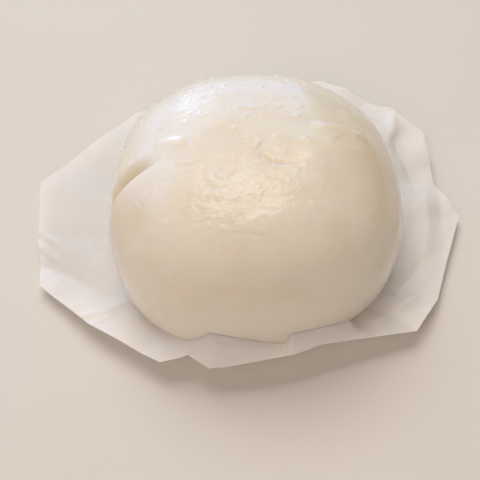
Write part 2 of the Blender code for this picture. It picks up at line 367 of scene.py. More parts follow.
@dataclass(frozen=True)
class SteamedDough:
    """Steamed wheat dough: a smooth, close skin that set in steam and is still damp.

    Light sinks a few millimetres into it, which softens every shadow and warms the folds; painted shade also
    darkens the fold, the flanks and the low side. The damp skin gives a satin gloss that fine bubbles and
    wrinkles break up.
    """

    skin_colour: str = "EBE6D8"
    deep_colour: str = "E2D6BE"
    # Painted shade: the low band colours the skin darker towards the underside.
    low_shade_colour: str = "D4C5A9"
    # Painted shade in the fold's groove, the fine crease marks and the flanks.
    groove_shade_colour: str = "D8C49D"
    low_shade_band: tuple[float, float] = (24.0, 3.0)
    ior: float = 1.42
    scatter_mm: float = 4.5
    scatter_share: float = 0.6
    scatter_reach: tuple[float, float, float] = (1.0, 0.72, 0.42)
    roughness: tuple[float, float] = (0.36, 0.5)
    film_share: float = 1.0
    film_roughness: float = 0.13
    film_ior: float = 1.52
    mottle_mm: float = 11.0
    wet_mm: float = 6.0
    warp_mm: float = 5.0
    warp_reach_mm: float = 3.0
    wrinkle_mm: float = 3.4
    wrinkle_stretch: tuple[float, float, float] = (0.55, 1.0, 1.0)
    wrinkle_height_mm: float = 0.6
    bubble_mm: float = 1.0
    bubble_height_mm: float = 0.26
    bubble_least: float = 0.1
    pore_mm: float = 0.45
    pore_height_mm: float = 0.03

    def build(self) -> Material:
        """Builds the material."""
        material, tree, shader, place = start_material("steamed_dough_skin")
        # The damp film lies thicker in some places than in others, which varies the gloss.
        grains = {"Vector": place, "Scale": per(self.wet_mm), "Detail": 2.0}
        wet = add_node(tree, "ShaderNodeTexNoise", grains)
        least, most = self.roughness
        spread = {"Value": wet, "From Min": 0.3, "From Max": 0.7, "To Min": least, "To Max": most}
        relief = self.relief(tree, place)
        values = {
            "Base Color": self.colour(tree, place),
            "Roughness": add_node(tree, "ShaderNodeMapRange", spread),
            "Normal": relief,
            "IOR": self.ior,
            "Subsurface Weight": self.scatter_share,
            "Subsurface Radius": self.scatter_reach,
            "Subsurface Scale": self.scatter_mm * MM,
            "Coat Weight": self.film_share,
            "Coat Roughness": self.film_roughness,
            "Coat IOR": self.film_ior,
            "Coat Normal": relief,
        }
        feed(tree, shader, values)
        return material

    def colour(self, tree: NodeTree, place: NodeSocket) -> NodeSocket:
        """Mottles the cream skin, and paints shade low down, on its flanks and in the fold.

        Args:
            tree: The material's tree.
            place: The place on the object.

        Returns:
            The colour.
        """
        grains = {"Vector": place, "Scale": per(self.mottle_mm), "Detail": 3.0, "Roughness": 0.55}
        mottle = add_node(tree, "ShaderNodeTexNoise", grains)
        height = add_node(tree, "ShaderNodeSeparateXYZ", {"Vector": place}).outputs["Z"]
        band_top, band_foot = self.low_shade_band
        ramps = (
            (mottle, 0.42, 0.72, 0.35, self.deep_colour),
            # Painted shade, darker towards the underside.
            (height, band_top * MM, band_foot * MM, 0.85, self.low_shade_colour),
        )
        layers = []
        for source, start, end, most, code in ramps:
            ramp = {"Value": source, "From Min": start, "From Max": end, "To Max": most}
            layers.append((add_node(tree, "ShaderNodeMapRange", ramp, interpolation_type="SMOOTHSTEP"), code))
        # The crease mask carries painted shade: the fold's groove, the fine crease marks and the flanks
        # turned from the light are coloured darker and warmer.
        crease = add_node(tree, "ShaderNodeAttribute", attribute_name="crease").outputs["Fac"]
        colour: Any = linear(self.skin_colour)
        for share, code in layers + [(crease, self.groove_shade_colour)]:
            # A colour mix's factor and its two colours are its first, seventh and eighth inputs.
            mixed = add_node(tree, "ShaderNodeMix", {0: share, 6: colour, 7: linear(code)}, data_type="RGBA")
            colour = mixed.outputs[2]
        return colour

    def relief(self, tree: NodeTree, place: NodeSocket) -> Node:
        """Raises the wrinkles of the gathered top, fine bubbles and pores.

        Args:
            tree: The material's tree.
            place: The place on the object.

        Returns:
            The node that gives the shading normal.
        """
        grains = {"Vector": place, "Scale": per(self.warp_mm), "Detail": 1.0}
        warp = add_node(tree, "ShaderNodeTexNoise", grains)
        sway = {0: warp.outputs["Color"], "Scale": self.warp_reach_mm * MM}
        bend = add_node(tree, "ShaderNodeVectorMath", sway, operation="SCALE")
        bent = add_node(tree, "ShaderNodeVectorMath", {0: place, 1: bend}, operation="ADD")
        stretch = {0: bent, 1: self.wrinkle_stretch}
        drawn = add_node(tree, "ShaderNodeVectorMath", stretch, operation="MULTIPLY")
        grains = {"Vector": drawn, "Scale": per(self.wrinkle_mm), "Detail": 2.0, "Roughness": 0.6}
        waves = add_node(tree, "ShaderNodeTexNoise", grains)
        ridges = add_node(tree, "ShaderNodeMath", {0: waves, 1: 0.5}, operation="PINGPONG")
        satin = add_node(tree, "ShaderNodeAttribute", attribute_name="gathered").outputs["Fac"]
        wrinkles = add_node(tree, "ShaderNodeMath", {0: ridges, 1: satin}, operation="MULTIPLY")
        grains = {"Vector": place, "Scale": per(self.bubble_mm), "Detail": 2.0, "Roughness": 0.5}
        blisters = add_node(tree, "ShaderNodeTexNoise", grains)
        spots = add_node(tree, "ShaderNodeAttribute", attribute_name="bubbled").outputs["Fac"]
        amount = add_node(tree, "ShaderNodeMapRange", {"Value": spots, "To Min": self.bubble_least})
        bubbles = add_node(tree, "ShaderNodeMath", {0: blisters, 1: amount}, operation="MULTIPLY")
        grains = {"Vector": place, "Scale": per(self.pore_mm), "Detail": 1.0}
        pores = add_node(tree, "ShaderNodeTexNoise", grains)
        layers = (
            (wrinkles, self.wrinkle_height_mm, 1.0),
            (bubbles, self.bubble_height_mm, 1.0),
            (pores, self.pore_height_mm, 0.5),
        )
        under: Inputs = {}
        for height, depth, strength in layers:
            raised = {"Height": height, "Distance": depth * MM, "Strength": strength}
            under = {"Normal": add_node(tree, "ShaderNodeBump", raised | under)}
        return under["Normal"]


@dataclass(frozen=True)
class BakingPaper:
    """Thin bleached greaseproof paper: beaten fibres pressed smooth between rollers.

    It lets light through, so it glows where lit from behind and takes a little of the colour of
    what it lies on. Its hard rolled face gives a faint sheen along each crease.
    """

    colour: str = "FDF9F3"
    cloud_colour: str = "F6F1EA"
    roughness: float = 0.42
    ior: float = 1.48
    glow_share: float = 0.75
    glow_mm: float = 1.6
    glow_reach: tuple[float, float, float] = (1.0, 0.95, 0.9)
    cloud_mm: float = 7.0
    cockle_mm: float = 4.0
    cockle_height_mm: float = 0.35
    fibre_mm: float = 0.7
    fibre_height_mm: float = 0.03

    def build(self) -> Material:
        """Builds the material."""
        material, tree, shader, place = start_material("rolled_greaseproof_paper")
        grains = {"Vector": place, "Scale": per(self.cloud_mm), "Detail": 4.0, "Roughness": 0.6}
        clouds = add_node(tree, "ShaderNodeTexNoise", grains)
        colours = {0: clouds, 6: linear(self.colour), 7: linear(self.cloud_colour)}
        grains = {"Vector": place, "Scale": per(self.cockle_mm), "Detail": 2.0, "Distortion": 0.6}
        cockle = add_node(tree, "ShaderNodeTexNoise", grains)
        raised = {"Height": cockle, "Distance": self.cockle_height_mm * MM, "Strength": 0.6}
        waves = add_node(tree, "ShaderNodeBump", raised)
        grains = {"Vector": place, "Scale": per(self.fibre_mm), "Detail": 3.0, "Roughness": 0.6}
        fibres = add_node(tree, "ShaderNodeTexNoise", grains)
        raised = {"Height": fibres, "Distance": self.fibre_height_mm * MM, "Strength": 0.5, "Normal": waves}
        values = {
            "Base Color": add_node(tree, "ShaderNodeMix", colours, data_type="RGBA").outputs[2],
            "Roughness": self.roughness,
            "Normal": add_node(tree, "ShaderNodeBump", raised),
            "IOR": self.ior,
            "Subsurface Weight": self.glow_share,
            "Subsurface Radius": self.glow_reach,
            "Subsurface Scale": self.glow_mm * MM,
        }
        feed(tree, shader, values)
        return material


@dataclass(frozen=True)
class MattFloor:
    """Matt painted board: pale, even, with no gloss to mirror the lights."""

    colour: str = "DEDDD8"
    cloud_colour: str = "D7D5CF"
    cloud_scale: float = 6.0
    roughness: float = 0.85

    def build(self) -> Material:
        """Builds the material."""
        material, tree, shader, place = start_material("matt_painted_board")
        grains = {"Vector": place, "Scale": self.cloud_scale, "Detail": 2.0}
        clouds = add_node(tree, "ShaderNodeTexNoise", grains)
        colours = {0: clouds, 6: linear(self.colour), 7: linear(self.cloud_colour)}
        mixed = add_node(tree, "ShaderNodeMix", colours, data_type="RGBA")
        feed(tree, shader, {"Base Color": mixed.outputs[2], "Roughness": self.roughness})
        return material


# The bun


@dataclass(frozen=True)
class SkinLine:
    """A fine crease or ridge on the skin.

    Attributes:
        path: Its places on the skin's map, in millimetres.
        height: How far it stands out, below nought for a crease.
        width: Half of how wide it looks.
        kind: How it is shaped across.
    """

    path: Path2
    height: float
    width: float
    kind: LineKind = LineKind.ROUND

    def profile(self, offset: Array) -> Array:
        """Shapes the line across.

        Args:
            offset: Distances to the line's left, in millimetres.

        Returns:
            The share of the line's height at each distance.
        """
        if self.kind is LineKind.STEP:
            step = smooth_step(0.5 + offset / (2.0 * self.width))
            return step * bell(np.maximum(offset, 0.0), STEP_FADE * self.width)
        return bell(offset, self.width)


# The closed top's creases and low ridges, as the solid has them.
BROAD_LINES = (
    SkinLine(((-19.5, -8.3), (-11.8, -11.1), (-8.9, -13.4), (-4.7, -10.6), (1.7, -11.0)), -0.14, 1.5),
    SkinLine(((-2.7, -10.6), (1.7, -10.0), (8.4, -9.1), (15.5, -8.7)), -0.12, 1.2),
    SkinLine(((14.0, -9.0), (20.0, -5.4), (25.5, -3.4), (30.9, -2.0),
        (39.1, 2.0)), 0.25, 1.2, LineKind.STEP),
    SkinLine(((10.0, -8.0), (20.0, -4.0), (30.9, 0.0), (42.0, 3.0)), 0.7, 7.0),
    SkinLine(((0.1, -3.1), (3.5, -5.8), (7.5, -8.0)), -0.40, 2.8),
    SkinLine(((28.5, 1.3), (29.6, 3.2), (29.9, 5.2), (26.4, 6.2), (21.8, 6.1),
        (16.9, 4.6)), 0.35, 1.4, LineKind.STEP),
    SkinLine(((31.5, 3.0), (29.9, 4.4), (26.4, 5.4), (21.8, 5.3), (16.0, 3.8)), 0.5, 1.9),
    SkinLine(((25.6, 15.9), (28.0, 10.9), (31.0, 7.0), (32.6, 1.9)), 0.35, 1.3),
    SkinLine(((-30.4, 1.0), (-25.6, 0.6), (-20.0, -1.0)), 0.5, 1.9),
)

# Fine stretch marks and wrinkles that only the close skin shows.
FINE_LINES = (
    SkinLine(((32.7, 0.6), (32.3, 3.5), (31.8, 5.7), (30.7, 7.7), (29.3, 9.6), (27.9, 12.2),
        (26.3, 14.9)), 0.25, 0.7, LineKind.STEP),
    SkinLine(((-34.4, -13.0), (-33.2, -14.7), (-32.1, -16.6), (-31.0, -18.6)), 0.16, 0.45),
    SkinLine(((-32.7, -13.1), (-31.2, -15.4), (-29.8, -17.9)), 0.14, 0.45),
    SkinLine(((-35.4, -15.0), (-33.8, -17.4), (-32.7, -19.5)), 0.10, 0.5),
    SkinLine(((-7.7, -29.3), (-5.5, -29.7), (-2.8, -29.8), (-0.4, -30.6), (1.5, -31.3)), -0.10, 0.55),
    SkinLine(((-11.8, -12.6), (-10.1, -14.4), (-8.4, -14.2), (-6.2, -13.4), (-4.6, -12.5),
        (-2.6, -11.9)), -0.20, 0.6),
    SkinLine(((-16.6, -14.5), (-14.1, -15.7), (-11.9, -17.5), (-9.5, -17.1),
        (-7.0, -16.1)), -0.15, 0.55),
    SkinLine(((-14.5, -20.8), (-12.3, -21.6), (-9.9, -21.3), (-7.7, -21.2),
        (-5.6, -22.1)), -0.14, 0.55),
    SkinLine(((1.6, -13.8), (3.9, -15.0), (6.7, -14.9), (9.4, -15.6), (11.9, -16.3)), -0.15, 0.55),
    SkinLine(((-18.0, -18.6), (-16.8, -21.2), (-15.2, -23.3), (-13.5, -25.5),
        (-11.4, -27.5)), -0.12, 0.55),
    SkinLine(((-3.1, -20.8), (-0.9, -21.1), (1.0, -22.2), (3.1, -23.3)), -0.14, 0.55),
    SkinLine(((-4.6, -9.1), (-5.7, -11.8), (-7.0, -14.3), (-8.4, -16.6)), -0.15, 0.5),
    SkinLine(((0.0, -7.8), (2.9, -7.4), (4.9, -9.1), (8.0, -10.0), (11.7, -9.3)), -0.37, 0.6),
    SkinLine(((-13.4, -8.5), (-14.4, -10.4), (-14.8, -12.9), (-13.6, -15.2)), -0.14, 0.55),
    SkinLine(((-24.0, -8.1), (-20.0, -9.4), (-17.2, -8.9), (-13.9, -8.4)), -0.12, 0.55),
    SkinLine(((-16.8, -13.2), (-15.8, -14.0), (-13.9, -15.5), (-11.9, -17.7),
        (-11.0, -19.0)), -0.16, 0.9),
    SkinLine(((-19.1, -16.8), (-18.9, -17.8), (-18.5, -19.8), (-18.2, -21.8),
        (-18.0, -23.0)), -0.14, 0.8),
    SkinLine(((-16.0, -21.6), (-14.7, -21.0), (-12.9, -20.4), (-10.7, -20.9),
        (-9.4, -21.5)), -0.16, 0.8),
    SkinLine(((-6.4, -21.8), (-5.0, -21.5), (-3.8, -21.7)), -0.22, 1.0),
    SkinLine(((-2.8, -21.7), (-1.5, -22.5), (-0.1, -23.6)), -0.14, 0.9),
    SkinLine(((0.2, -19.6), (1.5, -20.0), (5.4, -20.5), (9.2, -19.9), (11.0, -19.4)), -0.13, 0.8),
    SkinLine(((-21.7, -21.4), (-19.7, -23.6), (-17.8, -25.7)), -0.12, 0.9),
    SkinLine(((-9.8, -26.7), (-6.3, -26.2), (-2.8, -24.8)), -0.10, 0.9),
    SkinLine(((3.5, -9.2), (6.6, -10.1), (10.0, -9.5)), -0.16, 0.8),
    SkinLine(((-9.0, -14.1), (-7.3, -13.3), (-5.4, -11.1)), -0.16, 0.7),
)

# Single blisters that catch the light, as places on the skin's map.
BLISTERS: Path2 = (
    (2.3, 21.6), (12.5, 8.8), (14.2, -0.8), (15.4, -2.0), (13.9, -9.4), (-0.9, 11.9), (-4.6, 12.4),
)


@dataclass
class BunBody:
    """The bun: one closed skin over a plump uneven body with a flat underside.

    A place on the skin is written on a flat map unrolled from the top, where `skin_quarter` is the
    length of skin from the top to the widest level. All lengths are millimetres.
    """

    # The plain body, its rim and its mesh.
    half_width: float = 46.4
    half_depth: float = 45.1
    height: float = 54.5
    widest_level: float = 15.0
    belly_depth: float = 18.0
    plan_roundness: float = 2.38
    crown_roundness: float = 2.5
    belly_roundness: float = 2.4
    plan_waves: tuple[tuple[int, float, float], ...] = (
        (2, 0.005, 71.0), (3, 0.015, -1.0), (4, 0.0064, -10.0),
    )
    raised: float = 0.7
    rim_rounding: float = 0.9
    rim_ray: float = 20.0
    grid: int = 124
    skin_quarter: float = 66.0
    # The deep fold at the left: a lip that laps over a groove.
    fold_path: Path2 = (
        (-70.0, -22.5), (-55.0, -13.5), (-46.9, -10.1), (-41.3, -7.9), (-35.3, -5.8), (-30.4, -4.0),
        (-26.5, -1.5),
    )
    fold_depth: float = 5.8
    fold_edge: float = -1.0
    fold_wall: float = 0.9
    fold_lap: float = 1.3
    fold_lap_reach: float = 5.0
    fold_undercut: float = 0.5
    fold_undercut_reach: float = 4.0
    fold_far_outside: float = 16.0
    fold_far_inside: float = 5.0
    fold_lip: float = 0.9
    fold_lip_width: float = 2.6
    fold_lip_setback: float = 1.6
    fold_shoulder: float = 1.3
    fold_shoulder_width: float = 3.4
    fold_shoulder_most: float = 0.97
    fold_fade_outside: float = 0.27
    fold_fade_inside: float = 0.4
    gather_reach: float = 4.5
    gather_share: float = 0.6
    # The lines, blisters and wrinkles of the skin.
    broad_lines: tuple[SkinLine, ...] = BROAD_LINES
    fine_lines: tuple[SkinLine, ...] = FINE_LINES
    line_fade: float = 0.2
    # How much painted shade the fine crease marks add to the crease mask.
    mark_shade_share: float = 0.3
    mark_depth: float = 0.35
    blisters: Path2 = BLISTERS
    blister_height: float = 0.3
    blister_radius: float = 0.9
    wrinkle_height: float = 0.1
    wrinkled_middle: tuple[float, float] = (-5.0, -17.5)
    wrinkled_reach: tuple[float, float] = (17.0, 10.5)
    wrinkle_stretch: tuple[float, float] = (0.6, 1.2)
    wrinkle_sizes: tuple[float, float] = (4.6, 2.1)
    wrinkle_sway: float = 1.6
    wrinkle_sway_size: float = 6.0
    unevenness: float = 0.22
    unevenness_size: float = 17.0
    fine_unevenness: float = 0.04
    fine_unevenness_size: float = 6.5
    still_radius: float = 58.0
    still_fade: float = 10.0
    # Painted shade on the flanks turned away from the light: the middle of each in plan, its reach across and
    # along, and its share.
    flank_shade_places: tuple[tuple[float, float, float, float, float], ...] = (
        (36.0, 3.0, 11.0, 23.0, 0.42),
        (-40.0, -19.0, 11.0, 9.0, 0.42),
    )
    measured: dict[str, Array] = field(default_factory=dict)

    def plan_share(self, across: Array, along: Array) -> Array:
        """Measures places against the bun's uneven oval plan.

        Args:
            across: Each place's x.
            along: Each place's y.

        Returns:
            How far each place is from the middle, as a share of the plan's reach there.
        """
        power = self.plan_roundness
        oval = (np.abs(across) / self.half_width) ** power + (np.abs(along) / self.half_depth) ** power
        azimuth = np.arctan2(along, across)
        reach = 1.0
        for lobes, height, turn in self.plan_waves:
            reach = reach + height * np.cos(lobes * (azimuth - math.radians(turn)))
        return oval ** (1.0 / power) / reach

    def half_shape(self, level: Array) -> tuple[Array, Array]:
        """Chooses the crown or the belly.

        Args:
            level: Heights above the widest level.

        Returns:
            The roundness and the reach of the half that each belongs to.
        """
        crown = level >= 0.0
        power = np.where(crown, self.crown_roundness, self.belly_roundness)
        return power, np.where(crown, self.height - self.widest_level, self.belly_depth)

    def side_radius(self, azimuth: Array, height: Array) -> Array:
        """Measures the plain body's side.

        Args:
            azimuth: Directions from the middle, in radians.
            height: Heights above the underside.

        Returns:
            The body's radius at each.
        """
        level = height - self.widest_level
        power, reach = self.half_shape(level)
        share = (1.0 - (np.abs(level) / reach) ** power) ** (1.0 / power)
        return share / self.plan_share(np.cos(azimuth), np.sin(azimuth))

    def body_points(self, directions: Array) -> Array:
        """Places directions on the plain body, whose underside is flat with a rounded rim.

        Args:
            directions: Unit directions, seen from the middle of the widest level.

        Returns:
            Points above the bun's own underside.
        """
        across, along, up = directions.T
        power, reach = self.half_shape(up)
        distance = (self.plan_share(across, along) ** power + (np.abs(up) / reach) ** power) ** (-1.0 / power)
        points = directions * distance[:, None]
        return points + np.array([0.0, 0.0, self.widest_level])

    def flatten_underside(self, points: Array) -> Array:
        """Lays whatever would hang below the underside flat on it, and rounds the rim.

        Args:
            points: Points of the swelled body.

        Returns:
            The points, none of them below nought.
        """
        middle = np.array([0.0, 0.0, self.widest_level])
        rays = points - middle
        drop = np.maximum(-rays[:, 2], 1e-6)
        share = self.widest_level / drop
        soft = self.rim_rounding / self.rim_ray
        blend = np.clip(0.5 + 0.5 * (share - 1.0) / soft, 0.0, 1.0)
        scale = share * (1.0 - blend) + blend - soft * blend * (1.0 - blend) * 0.5
        scale = np.where(rays[:, 2] < 0.0, np.minimum(scale, share), 1.0)
        return middle + rays * scale[:, None]

    def skin_places(self, directions: Array) -> Array:
        """Unrolls directions onto the skin's map."""
        radius = np.arccos(np.clip(directions[:, 2], -1.0, 1.0)) * self.skin_quarter / (math.pi / 2.0)
        return around(np.arctan2(directions[:, 1], directions[:, 0]), radius)

    def skin_directions(self, places: Array) -> Array:
        """Rolls places on the skin's map up into directions."""
        tilt = np.hypot(places[:, 0], places[:, 1]) * (math.pi / 2.0) / self.skin_quarter
        return around(np.arctan2(places[:, 1], places[:, 0]), np.sin(tilt), np.cos(tilt))

    def measure(self, places: Array, path: Path2) -> tuple[Array, Array, Array, Array]:
        """Measures places on a flat map against a smooth path.

        Args:
            places: The places.
            path: A few places that the path runs through.

        Returns:
            Each place's distance to the path's left, its share of the path's length, the nearest
            point of the path, and the direction to the path's left there.
        """
        line = curve_through(path)
        nearest = np.full(len(places), np.inf)
        side = np.zeros(len(places))
        passed = np.zeros(len(places))
        foot = np.zeros_like(places)
        left = np.zeros_like(places)
        before = 0.0
        for start, end in zip(line, line[1:]):
            step = end - start
            length = float(np.linalg.norm(step))
            rest = places - start
            along = np.clip(rest @ step / length**2, 0.0, 1.0)
            point = start + along[:, None] * step
            gap = np.linalg.norm(places - point, axis=1)
            closer = gap < nearest
            turn = step[0] * rest[:, 1] - step[1] * rest[:, 0]
            nearest = np.where(closer, gap, nearest)
            side = np.where(closer, np.where(turn < 0.0, -1.0, 1.0), side)
            passed = np.where(closer, before + along * length, passed)
            foot = np.where(closer[:, None], point, foot)
            left = np.where(closer[:, None], np.array([-step[1], step[0]]) / length, left)
            before += length
        return nearest * side, passed / before, foot, left

    def gather(self, places: Array) -> Array:
        """Draws the map's places together along the fold, so that its lip is finely split.

        Args:
            places: Evenly spread places on the skin's map.

        Returns:
            The places, closest together along the lip.
        """
        offset, share, foot, left = self.measure(places, self.fold_path)
        wall = self.fold_edge - self.fold_lap + 0.5 * self.fold_wall
        pull = self.gather_share * bell(offset - wall, self.gather_reach)
        pull *= between_ends(share, self.fold_fade_outside, self.fold_fade_inside)
        return places + (foot + left * wall - places) * pull[:, None]

    def fold_relief(self, places: Array) -> tuple[Array, Array]:
        """Shapes the deep fold: a rounded lip that laps over a groove with a gentle far side.

        Args:
            places: Places on the skin's map.

        Returns:
            The height of the skin there, and the places to which the lapping lip is pushed.
        """
        offset, share, _, left = self.measure(places, self.fold_path)
        # From here the offset is measured from where the lip's edge starts, before it laps over.
        offset = offset - self.fold_edge + self.fold_lap
        wall = self.fold_wall
        drop = smooth_step(offset / wall)
        width = self.fold_far_outside + (self.fold_far_inside - self.fold_far_outside) * share
        rise = smooth_step((offset - wall) / width)
        lip = bell(offset + self.fold_lip_setback - self.fold_lap, self.fold_lip_width)
        turned = np.clip(1.0 + offset / self.fold_shoulder_width, 0.0, self.fold_shoulder_most)
        shoulder = self.fold_shoulder * (1.0 - np.sqrt(1.0 - turned**2)) * (1.0 - drop)
        strength = between_ends(share, self.fold_fade_outside, self.fold_fade_inside)
        height = strength * (self.fold_lip * lip - shoulder - self.fold_depth * drop * (1.0 - rise))
        foot = self.fold_lap - wall - self.fold_undercut
        lap_reach, foot_reach = self.fold_lap_reach, self.fold_undercut_reach
        lap = self.fold_lap * smooth_step((offset + lap_reach) / lap_reach) * (offset <= 0.0)
        down = self.fold_lap + (foot - self.fold_lap) * np.clip(offset / wall, 0.0, 1.0)
        lap += down * (offset > 0.0) * (offset < wall)
        lap += foot * (1.0 - smooth_step((offset - wall) / foot_reach)) * (offset >= wall)
        # The groove's floor is kept as the mask for painted shade in the fold.
        self.measured["crease"] = strength * drop * (1.0 - rise)
        return height, places + left * (lap * strength)[:, None]

    def skin_relief(self, places: Array) -> Array:
        """Adds the broad and fine lines, the unevenness and the gathered top's wrinkles.

        Args:
            places: Places on the skin's map.

        Returns:
            The height of the skin there.
        """
        height = np.zeros(len(places))
        marks = np.zeros(len(places))
        for line in self.broad_lines + self.fine_lines:
            offset, share, _, _ = self.measure(places, line.path)
            shape = between_ends(share, self.line_fade, self.line_fade) * line.profile(offset)
            height += line.height * shape
            if line in self.fine_lines and line.height < 0.0:
                marks = np.maximum(marks, shape * min(1.0, -line.height / self.mark_depth))
        # Fine creases add their painted shade to the same mask.
        self.measured["crease"] = np.clip(self.measured["crease"] + self.mark_shade_share * marks, 0.0, 1.0)
        for place in self.blisters:
            height += self.blister_height * bell(np.linalg.norm(places - place, axis=1), self.blister_radius)
        apart = (places - np.array(self.wrinkled_middle)) / np.array(self.wrinkled_reach)
        patch = np.exp(-np.sum(apart**2, axis=1))
        sway = [grain(places, self.wrinkle_sway_size, seed) for seed in (1.0, 2.0)]
        bent = places + self.wrinkle_sway * np.column_stack(sway)
        size, fine_size = self.wrinkle_sizes
        ridges = 1.0 - 2.0 * np.abs(grain(bent * np.array(self.wrinkle_stretch), size, 3.0))
        ridges += 0.5 * (1.0 - 2.0 * np.abs(grain(bent, fine_size, 4.0)))
        self.measured["gathered"] = patch
        height += self.wrinkle_height * patch * ridges
        # The unevenness dies out low down, where the paper lies close against the skin.
        still = smooth_step((self.still_radius - np.hypot(places[:, 0], places[:, 1])) / self.still_fade)
        uneven = self.unevenness * grain(places, self.unevenness_size, 5.0)
        rough = self.fine_unevenness * grain(places, self.fine_unevenness_size, 6.0)
        return height + still * (uneven + rough)

    def cube_sphere(self) -> tuple[Array, Array]:
        """Swells a finely split cube into directions.

        Returns:
            Unit directions, and the corners of each four-sided face.
        """
        steps = self.grid
        rows, columns = np.meshgrid(np.arange(steps + 1), np.arange(steps + 1), indexing="ij")
        quads = []
        lattice = []
        first = (rows[:-1, :-1] * (steps + 1) + columns[:-1, :-1]).ravel()
        for axis in range(3):
            for end in (0, steps):
                place = np.empty((rows.size, 3), dtype=int)
                place[:, axis] = end
                place[:, (axis + 1) % 3] = rows.ravel()
                place[:, (axis + 2) % 3] = columns.ravel()
                quad = np.column_stack([first, first + steps + 1, first + steps + 2, first + 1])
                quad = quad if end else quad[:, ::-1]
                quads.append(quad + len(lattice) * rows.size)
                lattice.append(place)
        corners, index = np.unique(np.vstack(lattice), axis=0, return_inverse=True)
        cube = np.tan((2.0 * corners / steps - 1.0) * math.pi / 4.0)
        directions = cube / np.linalg.norm(cube, axis=1)[:, None]
        return directions, np.ravel(index)[np.vstack(quads)]

    def build(self, material: Material) -> Object:
        """Builds the bun's skin.

        Args:
            material: The dough's finish.

        Returns:
            The finished piece.
        """
        directions, faces = self.cube_sphere()
        places = self.gather(self.skin_places(directions))
        height, lapped = self.fold_relief(places)
        height = height + self.skin_relief(places)
        directions = self.skin_directions(lapped)
        points = self.body_points(directions) + directions * height[:, None]
        points = self.flatten_underside(points) + np.array([0.0, 0.0, self.raised])
        # Painted shade on the flanks that face away from the key light, added to the crease mask.
        for across, along, width, length, share in self.flank_shade_places:
            spot = bell(points[:, 0] - across, width) * bell(points[:, 1] - along, length)
            self.measured["crease"] = np.clip(self.measured["crease"] + share * spot, 0.0, 1.0)
        item = make_object("bun_skin", points, faces, material)
        for name, values in self.measured.items():
            add_attribute(item, name, values)
        face_outwards(item)
        return item


@dataclass
class SkinBubbles:
    """Tiny bubbles that rose just under the skin and set there, strewn over the bun's top.

    A geometry tree strews the places of large and small bubbles, thickest on the gathered top and
    at the back, and raises the skin round each. Lengths are millimetres.

    Attributes:
        sizes: Each size's name, how many there are on a square metre, their radius and their height.
        patches: Where they lie: x, reach across, y, reach along, the level they start above, and a share.
        level_fade: How far above that level they are at their thickest.
        seed: Which of the random strewings it is.
    """

    sizes: tuple[tuple[str, float, float, float], ...] = (
        ("Large", 52000.0, 1.25, 0.16),
        ("Small", 150000.0, 0.75, 0.07),
    )
    patches: tuple[tuple[float, float, float, float, float, float], ...] = (
        (-14.0, 24.0, 20.0, 12.0, 36.0, 1.0),
        (-3.0, 24.0, -14.0, 15.0, 42.0, 0.7),
    )
    level_fade: float = 8.0
    seed: int = 7

    def build_tree(self, material: Material) -> NodeTree:
        """Builds the tree that raises the bubbles.

        Args:
            material: The dough's finish.

        Returns:
            The tree, whose inputs are named for what they set.
        """
        names = tuple(f"{size[0]} {what}" for size in self.sizes for what in ("Density", "Radius", "Height"))
        tree, given = start_tree("raised_bubbles", names)
        spots = add_node(tree, "GeometryNodeInputNamedAttribute", {"Name": "bubbled"}, data_type="FLOAT")
        normal = add_node(tree, "GeometryNodeInputNormal")
        raised: Any = given["Geometry"]
        for size in self.sizes:
            density, radius, height = (given[f"{size[0]} {what}"] for what in ("Density", "Radius", "Height"))
            amount = add_node(tree, "ShaderNodeMath", {0: spots, 1: density}, operation="MULTIPLY")
            strewn = {"Mesh": raised, "Density": amount, "Seed": given["Seed"]}
            points = add_node(tree, "GeometryNodeDistributePointsOnFaces", strewn, distribute_method="RANDOM")
            near = add_node(tree, "GeometryNodeProximity", {"Geometry": points}, target_element="POINTS")
            ramp = {"Value": near.outputs["Distance"], "From Max": radius, "To Min": 1.0, "To Max": 0.0}
            share = add_node(tree, "ShaderNodeMapRange", ramp, interpolation_type="SMOOTHSTEP")
            rise = add_node(tree, "ShaderNodeMath", {0: share, 1: height}, operation="MULTIPLY")
            push = add_node(tree, "ShaderNodeVectorMath", {0: normal, "Scale": rise}, operation="SCALE")
            raised = add_node(tree, "GeometryNodeSetPosition", {"Geometry": raised, "Offset": push})
        end_tree(tree, raised, material)
        return tree

    def raise_on(self, skin: Object, material: Material) -> None:
        """Raises the bubbles on the bun's skin.

        Args:
            skin: The bun's skin.
            material: The dough's finish.
        """
        places = np.zeros(len(skin.data.vertices) * 3)
        skin.data.vertices.foreach_get("co", places)
        across, along, up = (places.reshape(-1, 3) / MM).T
        bubbled = np.zeros(len(across))
        for middle_x, reach_x, middle_y, reach_y, level, share in self.patches:
            patch = bell(across - middle_x, reach_x) * bell(along - middle_y, reach_y)
            bubbled += share * (patch * smooth_step((up - level) / self.level_fade))
        add_attribute(skin, "bubbled", np.clip(bubbled, 0.0, 1.0))
        values: dict[str, float | int] = {"Seed": self.seed}
        for name, density, radius, height in self.sizes:
            values[f"{name} Density"] = density
            values[f"{name} Radius"] = radius * MM
            values[f"{name} Height"] = height * MM
        use_tree(skin, self.build_tree(material), values)


# The paper


@dataclass(frozen=True)
class PaperFold:
    """A crease that was once pressed into the sheet: a crisp crest between two flanks.

    Attributes:
        path: Its places in plan, in millimetres.
        height: How far it stands up, below nought for a valley.
        left: How wide the flank to its left is.
        right: How wide the flank to its right is.
    """

    path: Path2
    height: float
    left: float
    right: float

    def profile(self, offset: Array) -> Array:
        """Shapes the crease across.

        Args:
            offset: Distances to the crease's left, in millimetres.

        Returns:
            The share of the crease's height at each distance.
        """
        flank = np.where(offset > 0.0, self.left, self.right)
        return np.maximum(0.0, 1.0 - np.abs(offset) / flank) ** CREST_SHARPNESS


